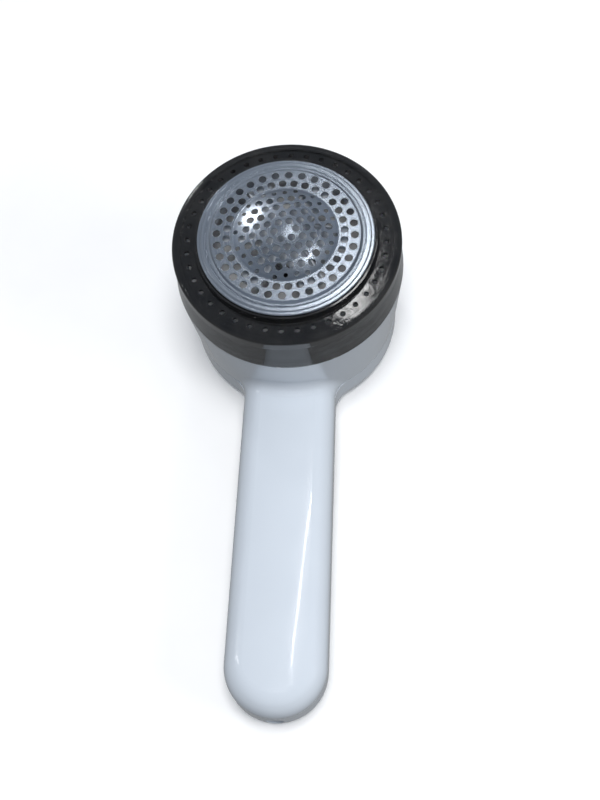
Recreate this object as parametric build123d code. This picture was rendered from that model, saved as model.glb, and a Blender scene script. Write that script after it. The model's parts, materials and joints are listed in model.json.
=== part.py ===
from build123d import *
import os
from math import atan2, cos, degrees, hypot, radians, sin

# Rechargeable fabric shaver, lying on its back: the shaving foil faces +Z.
# Millimetres, +Z up. The origin is the centre of the flat foot under the head,
# on the rotor's axis, and the handle runs along -Y.

# ---- casing -----------------------------------------------------------------
HEAD_FOOT_R = 39.3          # head radius below the casing seam
HEAD_RIM_R = 41.7           # head radius at its open rim
HEAD_RIM_Z = 44.0
FOOT_ROUND = 5.0            # rounding of the back shell's outer edge
NECK_HALF = 16.9            # half width of the handle at the neck
TIP_HALF = 18.0             # half width, and radius, of the handle's round end
HANDLE_REACH = 159.0        # rotor axis to the handle's tip
HANDLE_TOP_Z = 24.0
CROWN_R = 60.0              # crown of the handle's front, seen from its end
HANDLE_ROUND = 8.5          # rounding of the handle's front edges
NECK_ROUND = 10.0           # handle side to head, seen from above
CREASE_ROUND = 4.0          # handle front to head wall
WALL = 2.2
SEAM_Z = 14.0               # front shell above, back shell below
SEAM_GAP = 0.3
TONGUE = 1.0                # thickness of the tongue along the seam
TONGUE_H = 1.8
FIT_GAP = 0.15              # clearance of the tongue in its groove
ARCH_Y = -66.0              # middle of the hollow under the handle
ARCH_HALF = 28.0
ARCH_RISE = 3.5

# ---- bin joint, lint chamber and motor deck ---------------------------------
SPIGOT_R = 39.3
SPIGOT_BORE = 37.6
SPIGOT_TOP = 47.3
SEAL_R = 38.95              # middle of the seal's round section
SEAL_SECTION = 0.6
SEAL_Z = 45.8
LEDGE_BORE = 33.5
LEDGE_TOP = 41.5
LEDGE_H = 2.4
DECK_R = 37.4
DECK_H = 2.0
DECK_SCREW_R = 35.4
DECK_SCREW_ANGLES = (30, 150, 270)
COLLAR_R = 6.0
COLLAR_TOP = 45.5

# ---- motor ------------------------------------------------------------------
MOTOR_R = 12.2
MOTOR_Z = 7.0
MOTOR_H = 30.8
CAN_WALL = 0.8
END_CAP_H = 3.0
NOSE_R = 3.0
NOSE_H = 1.5
SHAFT_R = 1.0
BUSH_BORE = 1.03
BUSH_R = 2.4
MAGNET_R = 11.35
MAGNET_BORE = 9.6
CORE_R = 9.1
CORE_Z = (15.5, 29.0)
COMMUTATOR_R = 3.2
MOTOR_SCREW_X = 8.5
CRADLE_R = 14.4
CRADLE_Z = 30.0

# ---- cutter -----------------------------------------------------------------
COUPLING_Z = 46.0
COUPLING_FLANGE_R = 7.5
COUPLING_FLANGE_H = 1.5
HEX_FLATS = 7.0             # drive hexagon, across flats
HEX_TOP = 57.0
HUB_CLEAR = 0.3
SLEEVE_R = 5.3
SLEEVE_Z = 50.0
HUB_FLANGE_Z = 57.0
HUB_TOP = 64.0
SPRING_R = 6.1
SPRING_WIRE = 0.25
SPRING_TURNS = 5
BLADE_R = 23.0
BLADE_T = 0.6
BLADE_LEAVES = 6
EDGE_TOP = 65.25            # cutting edges stand this high outside the raised middle
EDGE_GAP = 0.4              # cutting edges to foil

# ---- lint bin, guard and foil ----------------------------------------------
BIN_Z = 44.25
BIN_TOP = 57.4
BIN_TOP_R = 40.5
BIN_WALL = 1.7
BEAD_R = 41.0
BEAD_BORE = 38.0
BEAD_Z = (57.4, 62.1)
BEAD_ROUND = 1.45
ANNULUS_Z = 61.5
ANNULUS_T = 1.2
LINT_HOLES = 40
LINT_HOLE_R = 0.95
LINT_HOLE_PITCH_R = 35.6
LIP_R = 33.0
LIP_TOP_R = 32.5
LIP_TOP = 64.4
FRAME_R = 31.5
FRAME_GAP = 0.3
FRAME_Z = 60.5
FRAME_TOP = 65.0
GUARD_LEDGE_BORE = 29.5
GUARD_LEDGE_Z = (59.0, 60.2)
SKIRT_R = 29.2
SKIRT_BORE = 27.4
SKIRT_Z = 57.5
LUGS = 3
LUG_R = 31.0
LUG_H = 1.2
LUG_ANGLE = 12.0
NOTCH_ANGLE = 18.0
TWIST = 25.0
FOIL_R = 28.2
FOIL_T = 0.35
FOIL_SEAT = 64.95
FOIL_FACE = 66.0
FOIL_CROWN = 69.0
CROWN_EDGE = 18.8            # the raised middle springs from this radius
# perforation: two outer rings (radius, number of holes, hole radius, turned by half a step)
# around a close-packed field
FOIL_RINGS = ((24.4, 32, 1.4, False), (20.9, 32, 1.35, True))
FIELD_PITCH = 3.85
FIELD_TURN = 10.0           # degrees
FIELD_HOLE_R = 1.3
FIELD_R = 17.8              # holes of the field lie within this radius
FIELD_EDGE_R = 16.6         # beyond this one they are small
FIELD_SMALL_R = 0.8
FOIL_BOSS_R = 3.0           # solid middle

# ---- handle: switch, battery, charging --------------------------------------
SWITCH_Y = -66.0            # middle of the thumb pad, switched off
SWITCH_TRAVEL = 4.0
PLATE_Z = 13.0
PLATE_T = 1.2
PLATE_SCREWS = ((-8.2, SWITCH_Y + 9.5), (8.2, SWITCH_Y - 8.5))
PLATE_SCREW_R = 0.85
LENS_Y = -84.0
LENS_R = 1.5
CELL_R = 7.1
CELL_Y = (-135.5, -87.0)
CELL_Z = 12.0
SADDLE_Y = (-97.0, -126.0)
BOARD_Y = (-153.0, -138.5)
BOARD_Z = 3.4
BOARD_T = 1.2
SOCKET_Z = 8.0
SOCKET_Y = (-153.4, -144.6)
RECESS_R = 3.25             # round opening that the charging plug's body enters
RECESS_BOSS_R = 4.8
WIRE_R = 0.55

# ---- casing screws: head pair, handle pair ----------------------------------
CASE_SCREWS = ((20.0, 24.0), (-20.0, 24.0), (11.2, -140.0), (-11.2, -140.0))
BOSS_R = 3.3
POST_R = 4.1
HEAD_BORE = 2.9
SCREW_HEAD_R = 2.5
SCREW_R = 1.25
PILOT_R = 1.3


# ---- small helpers ----------------------------------------------------------
def disc(r, z0, z1, x=0.0, y=0.0):
    return Pos(x, y, (z0 + z1) / 2) * Cylinder(r, z1 - z0)


def ring(r_out, r_in, z0, z1, x=0.0, y=0.0):
    return disc(r_out, z0, z1, x, y) - disc(r_in, z0 - 1, z1 + 1, x, y)


def block(x0, x1, y0, y1, z0, z1):
    centre = Pos((x0 + x1) / 2, (y0 + y1) / 2, (z0 + z1) / 2)
    return centre * Box(x1 - x0, y1 - y0, z1 - z0)


def rod_y(r, y0, y1, z, x=0.0):
    return Pos(x, (y0 + y1) / 2, z) * Rot(90, 0, 0) * Cylinder(r, y1 - y0)


def turned(*points):
    """A ring or disc turned about Z from its (radius, height) outline."""
    outline = make_face(Polyline(*points, close=True))
    return revolve(Plane.XZ * outline, Axis.Z)


def sector(r_out, r_in, z0, z1, middle, width):
    """A piece of a ring, width degrees wide about the angle middle."""
    reach = r_out / cos(radians(width / 2)) * 1.1
    wedge = make_face(Polyline(
        (0, 0),
        (reach * cos(radians(middle - width / 2)), reach * sin(radians(middle - width / 2))),
        (reach * cos(radians(middle + width / 2)), reach * sin(radians(middle + width / 2))),
        close=True))
    return ring(r_out, r_in, z0, z1) & extrude(Pos(0, 0, z0) * wedge, z1 - z0)


def joined(shapes):
    total = None
    for shape in shapes:
        total = shape if total is None else total + shape
    return total


def screw(x, y, seat, tip, head_h, head_up=False, head_r=SCREW_HEAD_R, r=SCREW_R):
    """A pan-head screw along Z with a cross recess; its head is below or above the seat."""
    way = 1 if head_up else -1
    face = seat + way * head_h
    body = disc(head_r, min(seat, face), max(seat, face), x, y)
    body += disc(r, min(seat, tip), max(seat, tip), x, y)
    for turn in (0, 90):
        slot = Pos(x, y, face) * Rot(0, 0, turn) * Box(head_r * 1.2, 0.5, head_h)
        body -= slot
    return body


# ---- casing -----------------------------------------------------------------
def paddle(inset, head_r):
    """The casing from above: the head's circle, the handle and the neck's rounds."""
    tip_y = -(HANDLE_REACH - TIP_HALF)
    neck_y = -HEAD_FOOT_R / 2
    ends = (Pos(0, neck_y) * Circle(NECK_HALF - inset), Pos(0, tip_y) * Circle(TIP_HALF - inset))
    handle = make_hull(ends[0].edges() + ends[1].edges())
    outline = handle + Circle(head_r - inset)
    corners = outline.vertices().filter_by_position(Axis.Y, -head_r, -head_r * 0.7)
    return fillet(corners, NECK_ROUND + inset)


def arch(inset):
    """The space under the handle's shallow arch."""
    radius = (ARCH_HALF ** 2 + ARCH_RISE ** 2) / (2 * ARCH_RISE)
    return Pos(0, ARCH_Y, ARCH_RISE + inset - radius) * Rot(0, 90, 0) * Cylinder(radius, 60)


def back_form(inset):
    """The lower half of the casing as one solid, inset from its outside."""
    top = SEAM_Z - SEAM_GAP if inset == 0 else SEAM_Z + TONGUE_H
    form = extrude(Pos(0, 0, inset) * paddle(inset, HEAD_FOOT_R), top - inset)
    foot = form.edges().filter_by_position(Axis.Z, inset - 0.01, inset + 0.01)
    form = fillet(foot, FOOT_ROUND - inset)
    return form - arch(inset)


def front_form(inset):
    """The upper half of the casing as one solid, inset from its outside."""
    base = SEAM_Z if inset == 0 else SEAM_Z - 1
    top = HANDLE_TOP_Z - inset
    handle = extrude(paddle(inset, HEAD_FOOT_R - 0.4), top)
    handle &= block(-60, 60, -HANDLE_REACH - 1, -25, 0, top)
    crown_r = CROWN_R - inset
    handle &= Pos(0, -90, top - crown_r) * Rot(90, 0, 0) * Cylinder(crown_r, 200)
    rims = [e for e in handle.edges()
            if e.bounding_box().min.Z > 4 and e.bounding_box().min.Y < -30]
    handle = fillet(rims, HANDLE_ROUND - inset) & block(-60, 60, -HANDLE_REACH - 1, -25, base, top)
    slope = (HEAD_RIM_R - HEAD_FOOT_R) / (HEAD_RIM_Z - SEAM_Z)
    head_top = HEAD_RIM_Z if inset == 0 else HEAD_RIM_Z + 1
    head = turned(
        (0, base), (HEAD_FOOT_R - inset + slope * (base - SEAM_Z), base),
        (HEAD_RIM_R - inset + slope * (head_top - HEAD_RIM_Z), head_top), (0, head_top))
    form = head + handle
    crease = [e for e in form.edges()
              if e.bounding_box().min.Z > SEAM_Z + 3 and e.bounding_box().max.Z < HEAD_RIM_Z - 5
              and -HEAD_RIM_R - 1 < e.center().Y < -HEAD_FOOT_R * 0.8
              and e.bounding_box().min.Y > -HEAD_RIM_R - 1]
    return fillet(crease, CREASE_ROUND + inset)


def tongue_band(outer, inner):
    """The band between two insets that rises past the seam."""
    band = back_form(outer) - back_form(inner)
    return band & block(-60, 60, -170, 60, SEAM_Z - 3, SEAM_Z + TONGUE_H)


def front_shell():
    shell = front_form(0) - front_form(WALL)
    groove = WALL - TONGUE - FIT_GAP
    shell -= back_form(groove) & block(-60, 60, -170, 60, SEAM_Z - 1, SEAM_Z + TONGUE_H + FIT_GAP)
    shell += ring(HEAD_RIM_R - WALL + 0.6, SPIGOT_BORE, LEDGE_TOP, HEAD_RIM_Z)
    shell += ring(SPIGOT_R, SPIGOT_BORE, HEAD_RIM_Z - 0.5, SPIGOT_TOP)
    shell -= Pos(0, 0, SEAL_Z) * Torus(SEAL_R, SEAL_SECTION + 0.02)
    shell += ring(SPIGOT_R, LEDGE_BORE, LEDGE_TOP - LEDGE_H, LEDGE_TOP)
    for x, y in CASE_SCREWS:
        top = LEDGE_TOP - LEDGE_H if y > 0 else HANDLE_TOP_Z - 3.5
        shell += disc(BOSS_R, SEAM_Z, top + 0.5, x, y)
        shell -= disc(PILOT_R, SEAM_Z - 1, SEAM_Z + 8, x, y)
    for x, y in CASE_SCREWS[:2]:
        reach = hypot(x, y)
        web = Box(9, 1.6, 22)
        place = Pos(x * 35 / reach, y * 35 / reach, SEAM_Z + 3 + 11)
        turn = degrees(atan2(y, x))
        shell += (place * Rot(0, 0, turn) * web) - disc(PILOT_R, 0, SEAM_Z + 8, x, y)
    for angle in DECK_SCREW_ANGLES:
        x, y = DECK_SCREW_R * cos(radians(angle)), DECK_SCREW_R * sin(radians(angle))
        shell += disc(2.6, LEDGE_TOP - 7, LEDGE_TOP, x, y)
        shell -= disc(PILOT_R, LEDGE_TOP - 6, LEDGE_TOP + 1, x, y)
    return shell


def back_shell():
    inside = back_form(WALL)
    shell = back_form(0) - inside
    shell += tongue_band(WALL - TONGUE, WALL)
    ribs = ring(12.0, 9.4, 1.5, 4.5)
    for x, y in CASE_SCREWS:
        ribs += disc(POST_R, 1.5, SEAM_Z - 0.1, x, y)
    for y in (BOARD_Y[0] + 3, BOARD_Y[1] - 3):
        ribs += block(-5, 5, y - 0.8, y + 0.8, 1.5, BOARD_Z)
    ribs += rod_y(RECESS_BOSS_R, -HANDLE_REACH + 1, SOCKET_Y[0] - 0.1, SOCKET_Z)
    shell += ribs & (back_form(0.6) + block(-60, 60, -HANDLE_REACH + 3, 60, 5, SEAM_Z + 5))
    for x, y in CASE_SCREWS:
        shell -= disc(HEAD_BORE, -1, 5.0, x, y)
        shell -= disc(SCREW_R + 0.2, 0, SEAM_Z + 2, x, y)
    shell -= rod_y(RECESS_R, -HANDLE_REACH - 1, SOCKET_Y[0] + 1, SOCKET_Z)
    slot_y = SWITCH_Y + SWITCH_TRAVEL / 2
    shell -= block(-2.6, 2.6, slot_y - 5.2, slot_y + 5.2, -1, 7)
    shell -= disc(LENS_R + 0.05, -1, 7, 0, LENS_Y)
    return shell


def case_screws():
    return joined(screw(x, y, 5.0, SEAM_Z + 7, 2.0) for x, y in CASE_SCREWS)


# ---- motor and its deck -----------------------------------------------------
def motor_deck():
    face = MOTOR_Z + MOTOR_H
    deck = disc(DECK_R, LEDGE_TOP, LEDGE_TOP + DECK_H)
    deck += ring(COLLAR_R, NOSE_R + 0.3, LEDGE_TOP + DECK_H - 0.5, COLLAR_TOP)
    deck += disc(CRADLE_R, face, LEDGE_TOP + 0.5)
    deck += ring(CRADLE_R, MOTOR_R + 0.15, CRADLE_Z, face + 0.5)
    for turn in range(0, 360, 60):
        rib = Pos(0, 0, LEDGE_TOP - 2) * Rot(0, 0, turn) * Pos(22, 0, 0) * Box(17, 1.4, 5)
        deck += rib
    deck -= disc(NOSE_R + 0.3, face - 1, COLLAR_TOP + 1)
    for side in (-1, 1):
        deck -= disc(SCREW_R + 0.15, face - 1, LEDGE_TOP + 3, side * MOTOR_SCREW_X)
        deck -= disc(2.6, LEDGE_TOP, LEDGE_TOP + 3, side * MOTOR_SCREW_X)
    for angle in DECK_SCREW_ANGLES:
        x, y = DECK_SCREW_R * cos(radians(angle)), DECK_SCREW_R * sin(radians(angle))
        deck -= disc(SCREW_R + 0.1, LEDGE_TOP - 1, LEDGE_TOP + 3, x, y)
    return deck


def deck_screws():
    places = [(DECK_SCREW_R * cos(radians(a)), DECK_SCREW_R * sin(radians(a)))
              for a in DECK_SCREW_ANGLES]
    seat = LEDGE_TOP + DECK_H
    return joined(screw(x, y, seat, seat - 7, 1.2, True, 2.0) for x, y in places)


def motor_screws():
    return joined(screw(side * MOTOR_SCREW_X, 0, LEDGE_TOP, MOTOR_Z + MOTOR_H - 2.2, 1.6, True, 2.3)
                  for side in (-1, 1))


def motor_can():
    face = MOTOR_Z + MOTOR_H
    can = disc(MOTOR_R, MOTOR_Z + END_CAP_H, face)
    can -= disc(MOTOR_R - CAN_WALL, MOTOR_Z, face - CAN_WALL)
    can += disc(NOSE_R, face - CAN_WALL, face + NOSE_H)
    can -= disc(BUSH_R, face - CAN_WALL - 1, face + NOSE_H + 1)
    for side in (-1, 1):
        can -= disc(SCREW_R + 0.05, face - 2, face + 1, side * MOTOR_SCREW_X)
    return can


def motor_end_cap():
    cap = disc(MOTOR_R, MOTOR_Z, MOTOR_Z + END_CAP_H)
    cap += ring(MOTOR_R - CAN_WALL - 0.05, MOTOR_R - 2.4, MOTOR_Z + 2.5, MOTOR_Z + END_CAP_H + 1.5)
    cap -= disc(BUSH_R, MOTOR_Z - 1, MOTOR_Z + END_CAP_H + 1)
    return cap


def motor_bushes():
    face = MOTOR_Z + MOTOR_H
    front = ring(BUSH_R, BUSH_BORE, face - CAN_WALL, face + NOSE_H)
    return front + ring(BUSH_R, BUSH_BORE, MOTOR_Z, MOTOR_Z + END_CAP_H)


def motor_magnets():
    return joined(sector(MAGNET_R, MAGNET_BORE, 12.5, 32.0, side, 140) for side in (0, 180))


def motor_brushes():
    arms = [block(-0.6, 0.6, side * 3.3 if side > 0 else -9.0, 9.0 if side > 0 else -3.3,
                  11.4, 13.4) for side in (-1, 1)]
    return joined(arms)


def motor_terminals():
    return joined(block(x - 1, x + 1, -MOTOR_R - 2.2, -MOTOR_R, 8.0, 8.5) for x in (-4, 4))


def motor_damper():
    return ring(11.5, 6.5, 4.5, MOTOR_Z)


def motor_shaft():
    return disc(SHAFT_R, MOTOR_Z - 1.2, HEX_TOP - 3)


def armature_core():
    core = disc(CORE_R, *CORE_Z) - disc(SHAFT_R, 0, 40)
    low, high = CORE_Z
    for turn in range(5):
        slot = Rot(0, 0, 72 * turn) * Pos(CORE_R - 2.4, 0, (low + high) / 2)
        core -= slot * Cylinder(1.9, high - low + 1)
        core -= slot * Pos(2.4, 0, 0) * Box(4, 1.0, high - low + 1)
    return core


def armature_windings():
    low, high = CORE_Z
    coils = []
    for turn in range(5):
        spot = Rot(0, 0, 72 * turn + 36) * Pos(CORE_R * 0.55, 0, 0)
        for z0 in (low - 1.8, high):
            coils.append(spot * Pos(0, 0, z0 + 0.9) * Box(6.0, 5.2, 1.8))
    ends = joined(coils)
    return ends - disc(SHAFT_R + 0.6, 0, 40)


def commutator():
    drum = ring(COMMUTATOR_R, SHAFT_R, 10.3, 13.5)
    for turn in range(5):
        drum -= Rot(0, 0, 72 * turn) * Pos(COMMUTATOR_R, 0, 12) * Box(0.8, 0.35, 4)
    return drum


# ---- cutter -----------------------------------------------------------------
def hexagon(flats, z0, z1):
    return extrude(Pos(0, 0, z0) * RegularPolygon(flats / 2, 6, major_radius=False), z1 - z0)


def drive_coupling():
    flange_top = COUPLING_Z + COUPLING_FLANGE_H
    body = disc(COUPLING_FLANGE_R, COUPLING_Z, flange_top)
    body += hexagon(HEX_FLATS, flange_top - 0.2, HEX_TOP)
    return body - disc(SHAFT_R, COUPLING_Z - 1, HEX_TOP - 3)


def blade_spring():
    z0 = COUPLING_Z + COUPLING_FLANGE_H + SPRING_WIRE
    height = HUB_FLANGE_Z - SPRING_WIRE - z0
    coil = Helix(height / SPRING_TURNS, height, SPRING_R)
    section = Plane(origin=coil @ 0, z_dir=coil % 0) * Circle(SPRING_WIRE)
    return Pos(0, 0, z0) * sweep(section, path=coil, is_frenet=True)


def blade_hub():
    hub = disc(SLEEVE_R, SLEEVE_Z, HUB_FLANGE_Z + 1)
    hub += turned((0, HUB_FLANGE_Z), (7.4, HUB_FLANGE_Z), (7.4, HUB_FLANGE_Z + 1.6),
                  (5.6, HUB_FLANGE_Z + 3), (5.6, HUB_TOP - 1.6), (9.0, HUB_TOP - 1.0),
                  (9.0, HUB_TOP), (0, HUB_TOP))
    for turn in range(BLADE_LEAVES):
        arm = Rot(0, 0, 60 * turn) * Pos(12.0, 0, HUB_TOP - 0.9) * Box(14, 3.2, 1.8)
        hub += arm
    return hub - hexagon(HEX_FLATS + 2 * HUB_CLEAR, SLEEVE_Z - 1, HEX_TOP + 1.8)


def blade_plate():
    """Six swept leaves around a disc, each with an upright cutting edge that follows the foil."""
    leaf = make_face(Polyline((0, 0), (8.0, -4.4), (BLADE_R, -5.0), (BLADE_R, 3.2), (8.0, 2.4),
                              close=True))
    edge = make_face(Polyline((7.0, 2.4), (8.0, 2.4), (BLADE_R, 3.2), (BLADE_R, 3.8), (7.0, 3.0),
                              close=True))
    sweep_room = disc(BLADE_R, HUB_TOP, EDGE_TOP) + crown(FOIL_T + EDGE_GAP)
    plate = disc(9.6, HUB_TOP, HUB_TOP + BLADE_T)
    edges = None
    for turn in range(BLADE_LEAVES):
        plate += Rot(0, 0, 60 * turn) * extrude(Pos(0, 0, HUB_TOP) * leaf, BLADE_T)
        upright = Rot(0, 0, 60 * turn) * extrude(Pos(0, 0, HUB_TOP) * edge, FOIL_CROWN - HUB_TOP)
        edges = upright if edges is None else edges + upright
    return (plate & disc(BLADE_R, HUB_TOP, EDGE_TOP)) + (edges & sweep_room)


def blade_screw():
    top = EDGE_TOP
    body = disc(3.0, HUB_TOP + BLADE_T, top)
    for turn in (0, 90):
        body -= Pos(0, 0, top) * Rot(0, 0, turn) * Box(3.6, 0.6, 0.6)
    return body


# ---- lint bin, guard and foil -----------------------------------------------
def lint_bin():
    bore = BIN_TOP_R - BIN_WALL
    return turned(
        (HEAD_RIM_R - BIN_WALL, BIN_Z), (HEAD_RIM_R, BIN_Z), (HEAD_RIM_R, BIN_Z + 0.8),
        (BIN_TOP_R, BIN_TOP), (bore, BIN_TOP))


def guard_ring():
    low, high = BEAD_Z
    bead = turned((BEAD_BORE - 0.6, low), (BEAD_R, low), (BEAD_R, high), (BEAD_BORE, high))
    rims = bead.edges().filter_by_position(Axis.Z, high - 0.01, high + 0.01)
    guard = fillet(rims.sort_by(SortBy.RADIUS)[-1], BEAD_ROUND)
    floor = ANNULUS_Z - ANNULUS_T
    guard += ring(BEAD_BORE + 0.5, LIP_R - 0.5, floor, ANNULUS_Z)
    bore = FRAME_R + FRAME_GAP
    guard += turned((bore, GUARD_LEDGE_Z[0]), (LIP_R, GUARD_LEDGE_Z[0]), (LIP_R, ANNULUS_Z),
                    (LIP_TOP_R, LIP_TOP), (bore, LIP_TOP))
    ledge = ring(bore + 0.2, GUARD_LEDGE_BORE, *GUARD_LEDGE_Z)
    for i in range(LUGS):
        middle = i * 360 / LUGS + TWIST
        ledge -= sector(LUG_R + 0.35, GUARD_LEDGE_BORE - 2, GUARD_LEDGE_Z[0] - 1, GUARD_LEDGE_Z[1] + 1,
                        middle, NOTCH_ANGLE)
    guard += ledge
    holes = joined(disc(LINT_HOLE_R, floor - 1, ANNULUS_Z + 1,
                        LINT_HOLE_PITCH_R * cos(radians(360 * i / LINT_HOLES)),
                        LINT_HOLE_PITCH_R * sin(radians(360 * i / LINT_HOLES)))
                   for i in range(LINT_HOLES))
    return guard - holes


def foil_frame():
    frame = turned(
        (SKIRT_BORE, SKIRT_Z), (SKIRT_R, SKIRT_Z), (SKIRT_R, FRAME_Z), (FRAME_R, FRAME_Z),
        (FRAME_R, FRAME_TOP - 0.25), (FRAME_R - 0.25, FRAME_TOP), (30.3, FRAME_TOP),
        (30.0, FRAME_TOP + 0.3), (28.6, FRAME_TOP + 0.3), (28.5, FRAME_TOP + 0.1),
        (FOIL_R + 0.03, FRAME_TOP + 0.1), (FOIL_R + 0.03, FOIL_SEAT), (SKIRT_BORE, FOIL_SEAT))
    for i in range(LUGS):
        frame += sector(LUG_R, SKIRT_BORE + 0.5, SKIRT_Z, SKIRT_Z + LUG_H, i * 360 / LUGS, LUG_ANGLE)
    return frame


def foil_holes():
    """Centre and radius of every hole in the foil."""
    holes = []
    for pitch_r, count, hole_r, shifted in FOIL_RINGS:
        for i in range(count):
            turn = radians(360 / count * (i + (0.5 if shifted else 0)))
            holes.append((pitch_r * cos(turn), pitch_r * sin(turn), hole_r))
    rows = int(FIELD_R / FIELD_PITCH / cos(radians(30))) + 1
    for row in range(-rows, rows + 1):
        y = row * FIELD_PITCH * cos(radians(30))
        for column in range(-rows - 1, rows + 2):
            x = (column + (0.5 if row % 2 else 0)) * FIELD_PITCH
            reach = hypot(x, y)
            if FOIL_BOSS_R < reach < FIELD_R:
                spin = radians(FIELD_TURN)
                hole_r = FIELD_HOLE_R if reach < FIELD_EDGE_R else FIELD_SMALL_R
                holes.append((x * cos(spin) - y * sin(spin), x * sin(spin) + y * cos(spin), hole_r))
    return holes


def crown(drop):
    """The foil's raised middle as a cap of a ball, lowered into itself by drop."""
    rise = FOIL_CROWN - FOIL_FACE
    radius = (CROWN_EDGE ** 2 + rise ** 2) / (2 * rise)
    ball = Pos(0, 0, FOIL_CROWN - radius) * Sphere(radius - drop)
    return ball & disc(CROWN_EDGE + 2, FOIL_FACE - FOIL_T - EDGE_GAP - 0.5, FOIL_CROWN + 1)


def foil():
    """A thin perforated cap: flat rim, bevel, flat band and a raised domed middle."""
    skin = turned(
        (0, FOIL_SEAT), (FOIL_R, FOIL_SEAT), (FOIL_R, FOIL_SEAT + FOIL_T),
        (27.3, FOIL_SEAT + FOIL_T), (26.5, FOIL_FACE), (0, FOIL_FACE))
    skin += crown(0) & disc(CROWN_EDGE + 1, FOIL_FACE - 0.2, FOIL_CROWN + 1)
    skin -= turned(
        (0, FOIL_SEAT - 1), (27.0, FOIL_SEAT - 1), (27.0, FOIL_SEAT),
        (26.3, FOIL_FACE - FOIL_T), (0, FOIL_FACE - FOIL_T))
    skin -= crown(FOIL_T)
    holes = [disc(r, FOIL_SEAT, FOIL_CROWN + 1, x, y) for x, y, r in foil_holes()]
    return skin - Compound(children=holes)


def bin_seal():
    return Pos(0, 0, SEAL_Z) * Torus(SEAL_R, SEAL_SECTION)


# ---- handle -----------------------------------------------------------------
def switch_knob():
    pad = fillet(block(-5.5, 5.5, SWITCH_Y - 6.5, SWITCH_Y + 6.5, 0.8, 2.4)
                 .edges().filter_by(Axis.Z), 2.5)
    for i in range(5):
        groove_y = SWITCH_Y - 4 + 2 * i
        pad -= Pos(0, groove_y, 0.8) * Rot(0, 90, 0) * Cylinder(0.45, 12)
    pad += block(-2.2, 2.2, SWITCH_Y - 2.6, SWITCH_Y + 2.6, 2.2, 6.6)
    pad += block(-4.6, 4.6, SWITCH_Y - 5.5, SWITCH_Y + 5.5, 6.0, 7.0)
    pad += block(-3.0, 3.0, SWITCH_Y - 2.4, SWITCH_Y - 1.2, 6.5, 8.6)
    pad += block(-3.0, 3.0, SWITCH_Y + 1.2, SWITCH_Y + 2.4, 6.5, 8.6)
    return pad


def switch_slider():
    return block(-1.2, 1.2, SWITCH_Y - 1.2, SWITCH_Y + 1.2, 7.3, 9.6)


def slide_switch():
    body = block(-4.0, 4.0, SWITCH_Y - 5, SWITCH_Y + 9, 8.9, PLATE_Z)
    return body - block(-1.5, 1.5, SWITCH_Y - 1.5, SWITCH_Y + SWITCH_TRAVEL + 1.5, 8.5, 10.2)


def switch_plate():
    plate = block(-10, 10, SWITCH_Y - 10.3, SWITCH_Y + 11.3, PLATE_Z, PLATE_Z + PLATE_T)
    plate += block(-4, 4, LENS_Y - 2.5, SWITCH_Y, PLATE_Z, PLATE_Z + PLATE_T)
    for x, y in PLATE_SCREWS:
        plate -= disc(PLATE_SCREW_R, PLATE_Z - 1, PLATE_Z + 2, x, y)
    return plate


def plate_screws():
    seat = PLATE_Z + PLATE_T
    return joined(screw(x, y, seat, seat - 6, 1.2, True, 1.6, 0.8) for x, y in PLATE_SCREWS)


def indicator_led():
    return block(-1.2, 1.2, LENS_Y - 1.2, LENS_Y + 1.2, 10.4, PLATE_Z)


def indicator_lens():
    return disc(LENS_R, 2.3, 9.8, 0, LENS_Y) + disc(2.2, 7.2, 8.2, 0, LENS_Y)


def inner_cradle():
    """Moulded cradle in the handle: saddles for the cell and posts for the switch plate."""
    cradle = block(-9.5, 9.5, SADDLE_Y[1] - 1.5, SWITCH_Y + 11.3, 6.0, 7.2)
    cradle -= block(-6.2, 6.2, SWITCH_Y - 13, SWITCH_Y + 13, 5, 8)
    for y in SADDLE_Y:
        cradle += block(-9.5, 9.5, y - 1.2, y + 1.2, 2.6, CELL_Z - 2)
    for x in (-8.2, 8.2):
        for y in (SWITCH_Y + 9.5, SWITCH_Y - 8.5):
            cradle += disc(1.8, 6.0, PLATE_Z, x, y)
    cradle -= rod_y(CELL_R + 0.15, CELL_Y[0] - 4, CELL_Y[1] + 4, CELL_Z)
    for x, y in PLATE_SCREWS:
        cradle -= disc(PLATE_SCREW_R, PLATE_Z - 5.5, PLATE_Z + 1, x, y)
    cradle -= disc(LENS_R + 0.1, 5, 8, 0, LENS_Y)
    return cradle & back_form(WALL + 0.1)


def battery_cell():
    low, high = CELL_Y
    cell = rod_y(CELL_R, low, high - 1.0, CELL_Z)
    return cell + rod_y(2.6, high - 1.2, high, CELL_Z)


def battery_tabs():
    low, high = CELL_Y
    tabs = block(-2, 2, high, high + 0.3, CELL_Z - 3, CELL_Z + 8)
    return tabs + block(-2, 2, low - 0.3, low, CELL_Z - 3, CELL_Z + 8)


def charge_board():
    return block(-6.5, 6.5, *BOARD_Y, BOARD_Z, BOARD_Z + BOARD_T)


def board_parts():
    top = BOARD_Z + BOARD_T
    chips = block(-5.2, -1.2, -144.0, -140.0, top, top + 1.5)
    chips += block(1.0, 5.0, -143.0, -140.6, top, top + 1.2)
    return chips + block(4.4, 6.0, -149.0, -146.0, top, top + 0.9)


def dc_socket():
    low, high = SOCKET_Y
    body = block(-3.6, 3.6, low, high, BOARD_Z + BOARD_T, SOCKET_Z + 3.4)
    body -= rod_y(1.15, low - 1, high - 1.5, SOCKET_Z)
    return body


def socket_pin():
    return rod_y(0.3, SOCKET_Y[0] + 1.2, SOCKET_Y[1] - 1.5, SOCKET_Z)


def wire(points, radius):
    path = FilletPolyline(*points, radius=radius)
    section = Plane(origin=path @ 0, z_dir=path % 0) * Circle(WIRE_R)
    return sweep(section, path=path)


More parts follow.
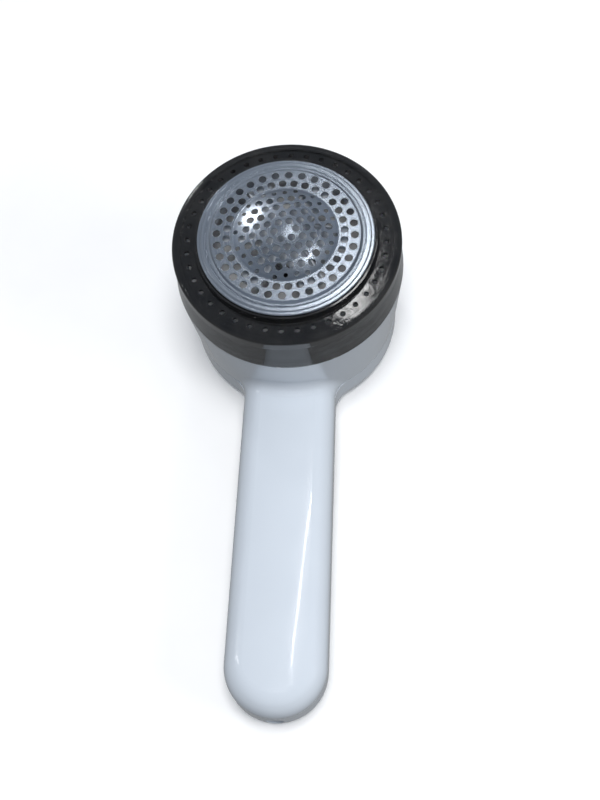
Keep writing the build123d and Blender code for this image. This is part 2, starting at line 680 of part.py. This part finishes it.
def motor_wires():
    start_y = SWITCH_Y + 11.4
    return joined(wire([(x, start_y, 15.4), (x, -33, 15.4), (x, -24, 8.25), (x, -MOTOR_R - 2.2, 8.25)],
                       4.0) for x in (-4, 4))


def battery_wires():
    """From the cell's tabs forward to the switch plate and back to the charging board."""
    front = wire([(3.0, CELL_Y[1] + 0.9, 18.0), (3.0, -82.5, 18.0), (3.0, -78.0, 15.2),
                  (3.0, -71.0, 15.2)], 2.5)
    rear = wire([(3.0, CELL_Y[0] - 0.9, 14.0), (3.0, -139.2, 14.0), (3.0, -141.8, 10.8),
                 (3.0, -141.8, 6.6)], 1.8)
    return front + rear


PIECES = {
    "front_shell": front_shell,
    "back_shell": back_shell,
    "case_screws": case_screws,
    "motor_deck": motor_deck,
    "deck_screws": deck_screws,
    "motor_screws": motor_screws,
    "bin_seal": bin_seal,
    "motor_can": motor_can,
    "motor_end_cap": motor_end_cap,
    "motor_bushes": motor_bushes,
    "motor_magnets": motor_magnets,
    "motor_brushes": motor_brushes,
    "motor_terminals": motor_terminals,
    "motor_damper": motor_damper,
    "motor_wires": motor_wires,
    "motor_shaft": motor_shaft,
    "armature_core": armature_core,
    "armature_windings": armature_windings,
    "commutator": commutator,
    "drive_coupling": drive_coupling,
    "blade_spring": blade_spring,
    "blade_hub": blade_hub,
    "blade_plate": blade_plate,
    "blade_screw": blade_screw,
    "lint_bin": lint_bin,
    "guard_ring": guard_ring,
    "foil_frame": foil_frame,
    "foil": foil,
    "switch_knob": switch_knob,
    "switch_slider": switch_slider,
    "slide_switch": slide_switch,
    "switch_plate": switch_plate,
    "plate_screws": plate_screws,
    "indicator_led": indicator_led,
    "indicator_lens": indicator_lens,
    "inner_cradle": inner_cradle,
    "battery_cell": battery_cell,
    "battery_tabs": battery_tabs,
    "battery_wires": battery_wires,
    "charge_board": charge_board,
    "board_parts": board_parts,
    "dc_socket": dc_socket,
    "socket_pin": socket_pin,
}

os.makedirs("parts", exist_ok=True)
for name, make in PIECES.items():
    export_step(make(), f"parts/{name}.step")
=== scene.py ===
import json
from math import cos, radians, sin

import bmesh
import bpy
from mathutils import Matrix, Vector


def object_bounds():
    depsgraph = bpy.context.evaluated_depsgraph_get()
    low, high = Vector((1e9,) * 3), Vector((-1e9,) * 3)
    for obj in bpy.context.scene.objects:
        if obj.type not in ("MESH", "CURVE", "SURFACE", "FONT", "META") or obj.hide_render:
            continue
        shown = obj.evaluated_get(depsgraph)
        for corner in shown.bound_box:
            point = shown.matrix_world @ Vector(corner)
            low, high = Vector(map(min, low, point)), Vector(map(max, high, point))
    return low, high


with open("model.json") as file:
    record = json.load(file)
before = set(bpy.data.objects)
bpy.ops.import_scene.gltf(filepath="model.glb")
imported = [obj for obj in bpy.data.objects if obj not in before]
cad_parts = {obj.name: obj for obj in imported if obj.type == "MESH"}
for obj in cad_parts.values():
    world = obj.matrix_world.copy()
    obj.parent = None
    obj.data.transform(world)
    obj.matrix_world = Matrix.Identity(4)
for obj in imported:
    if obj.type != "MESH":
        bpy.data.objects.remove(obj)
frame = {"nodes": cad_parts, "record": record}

CAD_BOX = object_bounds()
NODES = frame["nodes"]

# ---- camera -------------------------------------------------------------------
CAMERA_PLACE = Vector((0.03656, -0.21401, 0.42344))
CAMERA_AZIMUTH = 10.72      # degrees round from -Y
CAMERA_ELEVATION = 66.75
CAMERA_ROLL = -8.85
CAMERA_LENS = 53.1          # mm on a 36 mm sensor


def make_camera():
    a, e, r = radians(CAMERA_AZIMUTH), radians(CAMERA_ELEVATION), radians(CAMERA_ROLL)
    back = Vector((sin(a) * cos(e), -cos(a) * cos(e), sin(e)))
    right = Vector((cos(a), sin(a), 0))
    up = back.cross(right)
    rolled_right = right * cos(r) + up * sin(r)
    rolled_up = up * cos(r) - right * sin(r)
    turn = Matrix((rolled_right, rolled_up, back)).transposed().to_4x4()
    data = bpy.data.cameras.new("camera")
    data.lens = CAMERA_LENS
    data.clip_start = 0.01
    camera = bpy.data.objects.new("camera", data)
    camera.matrix_world = Matrix.Translation(CAMERA_PLACE) @ turn
    bpy.context.scene.collection.objects.link(camera)
    bpy.context.scene.camera = camera


# ---- light and floor ----------------------------------------------------------
# name, place, target, size in metres, watts, seen in reflections
LAMPS = (
    ("overhead", (0.05, -0.15, 1.3), (0, -0.06, 0), (0.5, 0.5), 13.5, False),
    ("side_fill", (0.9, -0.25, 0.45), (0, -0.08, 0.02), (0.5, 0.5), 3.6, False),
    ("tube", (0.31, 0.29, 1.5), (0.0, -0.09, 0.02), (0.022, 0.42), 0.55, True),
    ("window", (-0.03, 0.79, 1.5), (0, 0, 0.06), (0.06, 0.16), 0.36, True),
    ("left_strip", (-1.1, 0.1, 0.9), (0, 0, 0.06), (0.05, 0.5), 0.4, True),
    ("far_window", (-1.0, 1.6, 1.5), (0, 0, 0.06), (0.25, 0.25), 4.5, True),
)
FLOOR_HALF = 2.5            # half the floor's side, metres
FLOOR_CELLS = 24


def area_light(name, place, target, size, power, glossy):
    data = bpy.data.lights.new(name, "AREA")
    data.shape = "RECTANGLE"
    data.size, data.size_y = size
    data.energy = power
    lamp = bpy.data.objects.new(name, data)
    lamp.visible_glossy = glossy
    away = Vector(place) - Vector(target)
    lamp.matrix_world = Matrix.Translation(place) @ away.to_track_quat("Z", "Y").to_matrix().to_4x4()
    bpy.context.scene.collection.objects.link(lamp)


def make_world():
    """A dim room, brightest halfway up its walls and darkest overhead."""
    world = bpy.data.worlds.new("studio")
    world.use_nodes = True
    tree = world.node_tree
    place = add_node(tree, "ShaderNodeTexCoord")
    split = add_node(tree, "ShaderNodeSeparateXYZ")
    tree.links.new(place.outputs["Generated"], split.inputs["Vector"])
    sky = ramp(tree, split.outputs["Z"], ((0.0, (0.30, 0.31, 0.32)), (0.3, (0.17, 0.18, 0.20)),
                                              (0.6, (0.33, 0.36, 0.41)), (1.0, (0.17, 0.19, 0.22))))
    tree.links.new(sky, tree.nodes["Background"].inputs["Color"])
    bpy.context.scene.world = world


def make_studio():
    scene = bpy.context.scene
    scene.view_settings.view_transform = "Standard"
    make_world()
    for lamp in LAMPS:
        area_light(*lamp)

    bm = bmesh.new()
    bmesh.ops.create_grid(bm, x_segments=FLOOR_CELLS, y_segments=FLOOR_CELLS, size=FLOOR_HALF)
    mesh = bpy.data.meshes.new("floor")
    bm.to_mesh(mesh)
    floor = bpy.data.objects.new("floor", mesh)
    floor.location = (0, 0, CAD_BOX[0][2])
    scene.collection.objects.link(floor)
    floor.data.materials.append(floor_material())
    # the floor throws no light back and isn't reflected; the world's lower half does both instead
    floor.visible_diffuse = False
    floor.visible_glossy = False


# ---- material helpers -----------------------------------------------------------
def new_material(name, **values):
    """A material with its Principled shader's sockets set, and a few shortcuts for its nodes."""
    material = bpy.data.materials.new(name)
    material.use_nodes = True
    shader = material.node_tree.nodes["Principled BSDF"]
    for socket, value in values.items():
        shader.inputs[socket.replace("_", " ")].default_value = value
    return material, material.node_tree, shader


def add_node(tree, kind, inputs=None, **settings):
    node = tree.nodes.new(kind)
    for key, value in settings.items():
        setattr(node, key, value)
    for key, value in (inputs or {}).items():
        node.inputs[key].default_value = value
    return node


def place_noise(tree, scale, detail=4.0, roughness=0.55, stretch=None):
    """Noise in the object's own place, in cycles per metre, stretched along an axis if asked."""
    place = add_node(tree, "ShaderNodeTexCoord")
    mapping = add_node(tree, "ShaderNodeMapping", {"Scale": stretch or (1, 1, 1)})
    noise = add_node(tree, "ShaderNodeTexNoise", {"Scale": scale, "Detail": detail, "Roughness": roughness})
    tree.links.new(place.outputs["Object"], mapping.inputs["Vector"])
    tree.links.new(mapping.outputs["Vector"], noise.inputs["Vector"])
    return noise.outputs["Fac"]


def ramp(tree, value, stops):
    node = add_node(tree, "ShaderNodeValToRGB")
    band = node.color_ramp
    while len(band.elements) < len(stops):
        band.elements.new(0.5)
    for element, (at, colour) in zip(band.elements, stops):
        element.position = at
        element.color = (*colour, 1) if len(colour) == 3 else colour
    tree.links.new(value, node.inputs["Fac"])
    return node.outputs["Color"]


def spread(tree, value, low, high):
    """The value's 0.3 to 0.7 mapped to low to high."""
    node = add_node(tree, "ShaderNodeMapRange",
                    {"From Min": 0.3, "From Max": 0.7, "To Min": low, "To Max": high})
    tree.links.new(value, node.inputs["Value"])
    return node.outputs["Result"]


def add_bump(tree, shader, height, strength, distance):
    bump = add_node(tree, "ShaderNodeBump", {"Strength": strength, "Distance": distance})
    tree.links.new(height, bump.inputs["Height"])
    tree.links.new(bump.outputs["Normal"], shader.inputs["Normal"])
    return bump


def soften_edges(tree, bump, radius):
    """Catch light along the sharp edges as if they were broken by radius."""
    bevel = add_node(tree, "ShaderNodeBevel", {"Radius": radius}, samples=6)
    tree.links.new(bevel.outputs["Normal"], bump.inputs["Normal"])


def mottled(name, dark, light, rough, scale, bump=0.05, **values):
    """Plain stock with a fine mottle in colour, roughness and relief."""
    material, tree, shader = new_material(name, **values)
    noise = place_noise(tree, scale)
    tree.links.new(ramp(tree, noise, ((0.3, dark), (0.7, light))), shader.inputs["Base Color"])
    tree.links.new(spread(tree, noise, *rough), shader.inputs["Roughness"])
    add_bump(tree, shader, place_noise(tree, scale * 3), bump, 0.0001)
    return material


# ---- materials ------------------------------------------------------------------
def floor_material():
    return mottled("floor_card", (0.90, 0.90, 0.90), (0.92, 0.92, 0.92), (0.75, 0.9), 30, 0.02)


def white_abs():
    """High-gloss ABS: faint moulding swirl, soft orange peel and handling haze."""
    material, tree, shader = new_material(
        "white_abs", Coat_Weight=0.6, Coat_Roughness=0.04, Specular_IOR_Level=0.5)
    swirl = place_noise(tree, 18, 3)
    tree.links.new(ramp(tree, swirl, ((0.3, (0.54, 0.59, 0.65)), (0.7, (0.57, 0.62, 0.68)))),
                   shader.inputs["Base Color"])
    haze = place_noise(tree, 90, 6, 0.6)
    tree.links.new(spread(tree, haze, 0.10, 0.20), shader.inputs["Roughness"])
    soften_edges(tree, add_bump(tree, shader, place_noise(tree, 60, 2), 0.06, 0.0004), 0.0003)
    return material


def smoky(name, tint, mist, waves):
    """Smoke-tinted clear plastic, polished, with faint flow marks."""
    material, tree, shader = new_material(
        name, Transmission_Weight=0.75, IOR=1.49, Coat_Weight=0.4, Coat_Roughness=0.03)
    flow = place_noise(tree, 120, 4, 0.6, (1, 1, 2.5))
    tree.links.new(ramp(tree, flow, ((0.3, tint), (0.7, mist))), shader.inputs["Base Color"])
    tree.links.new(spread(tree, flow, 0.03, 0.10), shader.inputs["Roughness"])
    soften_edges(tree, add_bump(tree, shader, place_noise(tree, 260, 3), waves, 0.0004), 0.0004)
    return material


def turned_metal(name, dark, light, rough, pitch, depth, anisotropy=0.5):
    """Metal turned on a lathe: fine grooves ring the Z axis, and the glints follow them."""
    material, tree, shader = new_material(name, Metallic=1.0, Anisotropic=anisotropy)
    place = add_node(tree, "ShaderNodeTexCoord")
    split = add_node(tree, "ShaderNodeSeparateXYZ")
    flat = add_node(tree, "ShaderNodeCombineXYZ")
    length = add_node(tree, "ShaderNodeVectorMath", operation="LENGTH")
    tree.links.new(place.outputs["Object"], split.inputs["Vector"])
    tree.links.new(split.outputs["X"], flat.inputs["X"])
    tree.links.new(split.outputs["Y"], flat.inputs["Y"])
    tree.links.new(flat.outputs["Vector"], length.inputs[0])
    rings = add_node(tree, "ShaderNodeTexNoise", {"Scale": 1 / pitch, "Detail": 3.0, "Roughness": 0.6},
                     noise_dimensions="1D")
    tree.links.new(length.outputs["Value"], rings.inputs["W"])
    tree.links.new(ramp(tree, rings.outputs["Fac"], ((0.3, dark), (0.7, light))),
                   shader.inputs["Base Color"])
    tree.links.new(spread(tree, rings.outputs["Fac"], *rough), shader.inputs["Roughness"])
    soften_edges(tree, add_bump(tree, shader, rings.outputs["Fac"], 0.15, depth), 0.00025)
    tangent = add_node(tree, "ShaderNodeTangent", direction_type="RADIAL", axis="Z")
    tree.links.new(tangent.outputs["Tangent"], shader.inputs["Tangent"])
    return material


def make_materials():
    metal = {"Metallic": 1.0}
    return {
        "white_shell": white_abs(),
        "smoky_plastic": smoky("smoky_plastic", (0.03, 0.031, 0.033), (0.15, 0.155, 0.16), 0.08),
        "smoky_rim": smoky("smoky_rim", (0.012, 0.013, 0.015), (0.045, 0.044, 0.043), 0.10),
        "frame_aluminium": turned_metal("turned_aluminium", (0.44, 0.49, 0.56), (0.54, 0.59, 0.65),
                                        (0.16, 0.22), 0.0012, 0.000006),
        "foil_steel": turned_metal("foil_steel", (0.38, 0.43, 0.50), (0.52, 0.57, 0.63),
                                   (0.18, 0.28), 0.0008, 0.000006),
        "blade_steel": mottled("blade_steel", (0.78, 0.80, 0.83), (0.90, 0.91, 0.93), (0.38, 0.5), 400,
                               0.1, **metal),
        "steel_screw": mottled("steel_screw", (0.45, 0.45, 0.47), (0.62, 0.62, 0.64), (0.25, 0.4), 600,
                               0.1, **metal),
        "motor_steel": mottled("motor_steel", (0.55, 0.55, 0.57), (0.68, 0.68, 0.70), (0.25, 0.4), 300,
                               0.1, **metal),
        "spring_steel": mottled("spring_steel", (0.5, 0.5, 0.52), (0.65, 0.65, 0.66), (0.25, 0.4), 900,
                                0.1, **metal),
        "nickel": mottled("nickel", (0.55, 0.53, 0.48), (0.68, 0.66, 0.60), (0.25, 0.4), 500, 0.1,
                          **metal),
        "bronze": mottled("bronze", (0.45, 0.30, 0.14), (0.60, 0.42, 0.22), (0.3, 0.5), 500, 0.1,
                          **metal),
        "copper": mottled("copper", (0.60, 0.26, 0.12), (0.75, 0.38, 0.20), (0.25, 0.4), 700, 0.1,
                          **metal),
        "core_steel": mottled("core_steel", (0.20, 0.20, 0.21), (0.32, 0.32, 0.33), (0.4, 0.6), 800,
                              0.2, **metal),
        "ferrite": mottled("ferrite", (0.03, 0.03, 0.032), (0.06, 0.06, 0.062), (0.5, 0.7), 500, 0.2),
        "carbon": mottled("carbon", (0.02, 0.02, 0.02), (0.05, 0.05, 0.05), (0.5, 0.7), 700, 0.2),
        "deck_plastic": mottled("deck_plastic", (0.66, 0.67, 0.68), (0.72, 0.73, 0.74), (0.35, 0.5),
                                250),
        "hub_plastic": mottled("hub_plastic", (0.78, 0.78, 0.77), (0.84, 0.84, 0.83), (0.3, 0.45), 300),
        "black_plastic": mottled("black_plastic", (0.015, 0.015, 0.017), (0.03, 0.03, 0.033),
                                 (0.35, 0.5), 400),
        "grey_plastic": mottled("grey_plastic", (0.30, 0.32, 0.34), (0.36, 0.38, 0.40), (0.35, 0.5),
                                350),
        "seal_rubber": mottled("seal_rubber", (0.015, 0.015, 0.015), (0.03, 0.03, 0.03), (0.55, 0.75),
                               500, 0.2),
        "wire_jacket": mottled("wire_jacket", (0.45, 0.03, 0.025), (0.55, 0.05, 0.04), (0.35, 0.5),
                               400),
        "board_green": mottled("board_green", (0.02, 0.14, 0.06), (0.03, 0.19, 0.08), (0.25, 0.4),
                               300),
        "lens_clear": mottled("lens_clear", (0.82, 0.86, 0.83), (0.88, 0.90, 0.88), (0.05, 0.12), 200,
                              Transmission_Weight=0.9),
        "cell_wrap": mottled("cell_wrap", (0.04, 0.12, 0.36), (0.06, 0.16, 0.44), (0.2, 0.35), 200),
        "chip_black": mottled("chip_black", (0.01, 0.01, 0.01), (0.025, 0.025, 0.025), (0.4, 0.6), 600),
    }


def dress_nodes():
    materials = make_materials()
    for part in frame["record"]["subparts"]:
        node = NODES[part["node"]]
        node.data.materials.clear()
        node.data.materials.append(materials[part["material_slot"]])


make_camera()
make_studio()
dress_nodes()
